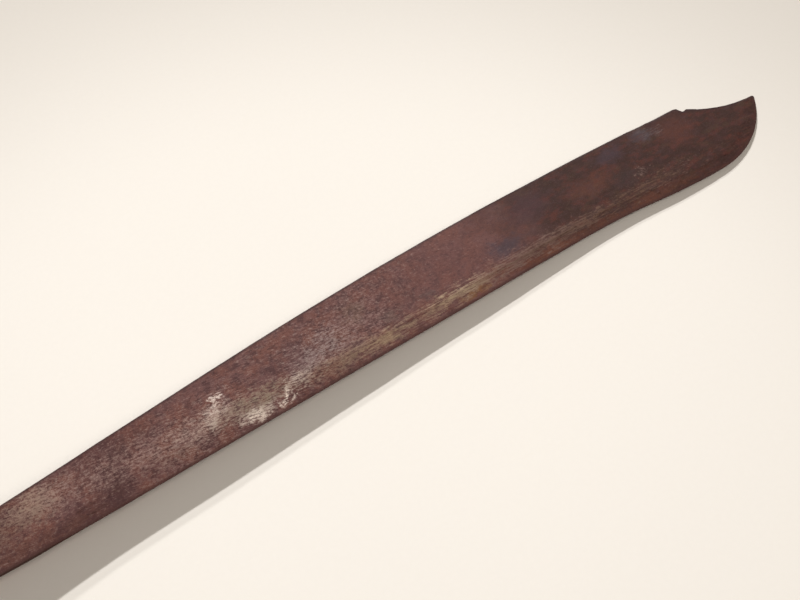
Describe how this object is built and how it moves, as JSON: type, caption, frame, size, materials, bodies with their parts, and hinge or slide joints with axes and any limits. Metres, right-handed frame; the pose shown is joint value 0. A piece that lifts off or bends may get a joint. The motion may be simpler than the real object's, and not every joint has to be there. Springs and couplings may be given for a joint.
{
  "type": "hand sickle",
  "caption": "Long straight-edged hand sickle: flat steel blade widening to a clipped, round-bellied tip, full tang between two riveted wooden scales.",
  "frame": {"origin": "middle of the grip's length on its long axis, halfway through the thickness of the steel", "axes": "+X along the tool towards the tip, +Y from the cutting edge towards the spine, +Z out of the blade's flat on the side shown upwards"},
  "size_m": [0.6966, 0.0575, 0.025],
  "materials": {
    "blade_steel": "old carbon steel under a mottled brown and mauve rust patina, rubbed brighter in patches",
    "grip_wood": "old oiled hardwood, worn and darkened by hands",
    "rivet_brass": "dull brown-patinated brass, hammered"
  },
  "bodies": {
    "root": {"blade": "blade_steel", "upper_scale": "grip_wood", "lower_scale": "grip_wood", "rivet_1": "rivet_brass", "burr_upper_1": "rivet_brass", "burr_lower_1": "rivet_brass", "rivet_2": "rivet_brass", "burr_upper_2": "rivet_brass", "burr_lower_2": "rivet_brass", "rivet_3": "rivet_brass", "burr_upper_3": "rivet_brass", "burr_lower_3": "rivet_brass", "rivet_4": "rivet_brass", "burr_upper_4": "rivet_brass", "burr_lower_4": "rivet_brass", "rivet_5": "rivet_brass", "burr_upper_5": "rivet_brass", "burr_lower_5": "rivet_brass"}
  },
  "joints": []
}
